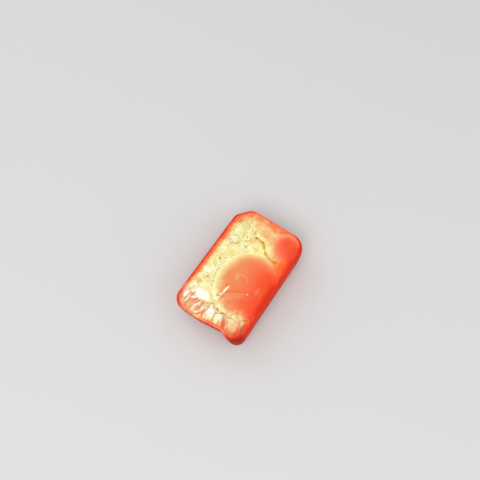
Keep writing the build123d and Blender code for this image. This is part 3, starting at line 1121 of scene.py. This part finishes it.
# Rings of the mesh down the rim, the wall and the foot, and insets of those under the foot
RIM_RINGS, WALL_RINGS, FOOT_RINGS = 8, 25, 7
UNDER_INSETS = (0.6, 1.4, 2.4)

# The relief dies away over the last turn round the foot, and the underside past FLAT_TURN has none
LAST_TURN = 0.9
FLAT_TURN = math.radians(175)


def wall_profile(height, rim, foot, draft):
    """The way down from the edge of the top: inset, level and turn of the surface at each ring."""
    profile = []
    foot_turn = math.pi / 2 + draft
    for angle in np.linspace(EDGE_TURN, 90 + math.degrees(draft), RIM_RINGS)[1:]:
        a = math.radians(angle)
        profile.append((rim - rim * math.sin(a), height - rim + rim * math.cos(a), a))
    wall_inset, wall_top, _ = profile[-1]
    foot_top = foot + foot * math.cos(foot_turn)
    foot_inset = wall_inset + (wall_top - foot_top) * math.tan(draft)
    for t in np.linspace(0, 1, WALL_RINGS)[1:]:
        inset = wall_inset + (foot_inset - wall_inset) * t
        profile.append((inset, wall_top + (foot_top - wall_top) * t, foot_turn))
    foot_centre = foot_inset + foot * math.sin(foot_turn)
    for angle in np.linspace(math.degrees(foot_turn), 180, FOOT_RINGS)[1:]:
        a = math.radians(angle)
        profile.append((foot_centre - foot * math.sin(a), foot + foot * math.cos(a), a))
    for more in UNDER_INSETS:
        profile.append((foot_centre + more, 0.0, math.pi))
    return profile


def put(verts, places, layers, values):
    """Move vertices to their places, given in millimetres, and give each its values."""
    rows = np.stack(np.broadcast_arrays(*places, *values), -1)
    for vert, row in zip(verts, rows):
        vert.co = row[:3] * MM
        for layer, value in zip(layers, row[3:]):
            vert[layer] = value


def finished(context, name, bm, material):
    """The object that a mesh makes, in the scene and with its one material."""
    mesh = bpy.data.meshes.new(name)
    bm.to_mesh(mesh)
    bm.free()
    made = bpy.data.objects.new(name, mesh)
    context.scene.collection.objects.link(made)
    mesh.materials.append(material)
    return made


class INGOT_OT_ingot(bpy.types.Operator):
    """Make the ingot with its cast skin"""

    bl_idname = "ingot.ingot"
    bl_label = "Ingot"

    def execute(self, context):
        sizes = context.scene.ingot_sizes
        length, width, height = sizes.length / MM, sizes.width / MM, sizes.height / MM
        rim, foot = sizes.rim_radius / MM, sizes.foot_radius / MM
        outline, inward = plan_outline(length, width)
        sheet_edge = rim * (1 - math.sin(math.radians(EDGE_TURN)))

        # The top starts as a flat grid as large as the outline's box
        bm = bmesh.new()
        cells_x = round(sizes.length / sizes.cell)
        cells_y = round(sizes.width / sizes.cell)
        bmesh.ops.create_grid(bm, x_segments=cells_x, y_segments=cells_y, size=0.5)
        ray = bm.verts.layers.int.new("ray")
        layers = [bm.verts.layers.float.new(name) for name in VALUES]
        for k, vert in enumerate(bm.verts):
            vert[ray] = k
        flat = np.array([vert.co[:2] for vert in bm.verts])
        edge_line = outline + inward * sheet_edge
        x, y, hit, normal = drawn_in(
            flat[:, 0] * length, flat[:, 1] * width, length, width, edge_line, inward
        )

        # Its outer part rolls over the rim, and the skin's relief stands out of it all
        depth = line_distance(x, y, [outline[-1], *outline])
        lean = np.clip((rim - depth) / rim, 0, 1)
        up = np.sqrt(1 - lean**2)
        drop = rim * (1 - up)
        rolled = lean > 0
        nearest = np.zeros((len(x), 2))
        nearest[rolled] = np.transpose(nearest_inward(x[rolled], y[rolled], outline, inward))
        relief, heat, shade, gloss, tone = top_skin(x, y, depth)
        low_relief, low_heat, _ = wall_skin(x, y, height - drop, height)
        relief = mixed(low_relief, relief, smooth(sheet_edge, WHOLE_SKIN, depth))
        blend = smooth(sheet_edge - BLEND_OUT, sheet_edge + BLEND_IN, depth)
        places = (
            x - nearest[:, 0] * lean * relief,
            y - nearest[:, 1] * lean * relief,
            height - drop + up * relief,
        )
        values = (
            mixed(low_heat, heat, blend),
            shade * blend,
            mixed(WALL_GLOSS, gloss, blend),
            PLAIN_TONE + TONE_STEP * tone * blend,
        )
        put(bm.verts, places, layers, values)

        # The walls are drawn down from the edge of the top, ring by ring, from the point of the
        # outline that each ray goes through
        through = hit - normal * sheet_edge
        edges = [e for e in bm.edges if e.is_boundary]
        for inset, level, turn in wall_profile(height, rim, foot, sizes.draft_angle):
            made = bmesh.ops.extrude_edge_only(bm, edges=edges)["geom"]
            verts = [g for g in made if isinstance(g, bmesh.types.BMVert)]
            edges = [g for g in made if isinstance(g, bmesh.types.BMEdge) and g.is_boundary]
            rows = np.array([vert[ray] for vert in verts])
            x, y = (through[rows] + normal[rows] * inset).T
            relief, heat, shade = wall_skin(x, y, np.full(len(rows), level), height)
            relief = relief * (min(1.0, (math.pi - turn) / LAST_TURN) if turn < FLAT_TURN else 0.0)
            places = (
                x - normal[rows, 0] * math.sin(turn) * relief,
                y - normal[rows, 1] * math.sin(turn) * relief,
                np.maximum(level + math.cos(turn) * relief, 0.0),
            )
            put(verts, places, layers, (heat, shade, WALL_GLOSS, PLAIN_TONE))
        bmesh.ops.contextual_create(bm, geom=edges)
        bmesh.ops.recalc_face_normals(bm, faces=bm.faces)
        for face in bm.faces:
            face.smooth = True

        ingot = finished(context, "copper_ingot", bm, hot_copper())
        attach(ingot, "root")
        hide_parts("ingot")
        return {"FINISHED"}


# The studio

WORLD_COLOUR = (0.93, 0.94, 0.96, 1)
WORLD_STRENGTH = 0.72

# Lamps that face the ingot: name, place, size and power, in metres and watts
LAMPS = [
    ("key", (-0.30, -0.06, 0.42), 0.30, 0.80),
    ("fill", (0.10, -0.45, 0.28), 0.40, 0.32),
    ("back", (0.10, 0.42, 0.30), 0.36, 0.28),
]

# The camera's place in millimetres, and the directions to its right, up and behind it
CAMERA_PLACE = (-34.368, -30.508, 160.398)
CAMERA_RIGHT = (0.56529, -0.82391, -0.04018)
CAMERA_UP = (0.77994, 0.51799, 0.35126)
CAMERA_BACK = (-0.26860, -0.22990, 0.93542)


class INGOT_OT_stage(bpy.types.Operator):
    """Make the floor, the lamps, the world and the camera"""

    bl_idname = "ingot.stage"
    bl_label = "Stage"

    def execute(self, context):
        studio = context.scene.ingot_studio
        bm = bmesh.new()
        bmesh.ops.create_grid(bm, x_segments=2, y_segments=2, size=studio.floor_size / 2)
        material, _, _, shader = new_material("pale_floor")
        shader.inputs["Base Color"].default_value = (*studio.floor_colour, 1)
        shader.inputs["Roughness"].default_value = 0.9
        floor = finished(context, "floor", bm, material)

        world = bpy.data.worlds.new("studio")
        world.use_nodes = True
        background = world.node_tree.nodes["Background"]
        background.inputs["Color"].default_value = WORLD_COLOUR
        background.inputs["Strength"].default_value = WORLD_STRENGTH
        context.scene.world = world

        for name, place, size, power in LAMPS:
            data = bpy.data.lights.new(name, "AREA")
            data.shape = "SQUARE"
            data.size = size
            data.energy = power
            lamp = bpy.data.objects.new(name, data)
            lamp.location = place
            lamp.rotation_mode = "QUATERNION"
            lamp.rotation_quaternion = (-Vector(place)).to_track_quat("-Z", "Y")
            context.scene.collection.objects.link(lamp)

        data = bpy.data.cameras.new("camera")
        data.sensor_width = 36
        data.lens = studio.lens
        data.clip_start = 0.01
        data.clip_end = 20
        camera = bpy.data.objects.new("camera", data)
        turned = Matrix((CAMERA_RIGHT, CAMERA_UP, CAMERA_BACK)).transposed().to_4x4()
        camera.matrix_world = Matrix.Translation(Vector(CAMERA_PLACE) * MM) @ turned
        context.scene.collection.objects.link(camera)
        context.scene.camera = camera
        context.scene.view_settings.view_transform = "Standard"
        return {"FINISHED"}


class INGOT_PT_panel(bpy.types.Panel):
    """Lists the ingot's sizes and the buttons that make it"""

    bl_idname = "INGOT_PT_panel"
    bl_label = "Hot copper ingot"
    bl_space_type = "VIEW_3D"
    bl_region_type = "UI"
    bl_category = "Ingot"

    def draw(self, context):
        layout = self.layout
        for group in (context.scene.ingot_sizes, context.scene.ingot_studio):
            for name in group.bl_rna.properties.keys():
                if name not in ("rna_type", "name"):
                    layout.prop(group, name)
        layout.operator("ingot.stage")
        layout.operator("ingot.ingot")


CLASSES = (IngotSizes, StudioSizes, INGOT_OT_stage, INGOT_OT_ingot, INGOT_PT_panel)


def register():
    for each in CLASSES:
        bpy.utils.register_class(each)
    bpy.types.Scene.ingot_sizes = bpy.props.PointerProperty(type=IngotSizes)
    bpy.types.Scene.ingot_studio = bpy.props.PointerProperty(type=StudioSizes)


def unregister():
    del bpy.types.Scene.ingot_studio
    del bpy.types.Scene.ingot_sizes
    for each in reversed(CLASSES):
        bpy.utils.unregister_class(each)


def main():
    register()
    bpy.ops.ingot.stage()
    bpy.ops.ingot.ingot()


if __name__ == "__main__":
    main()
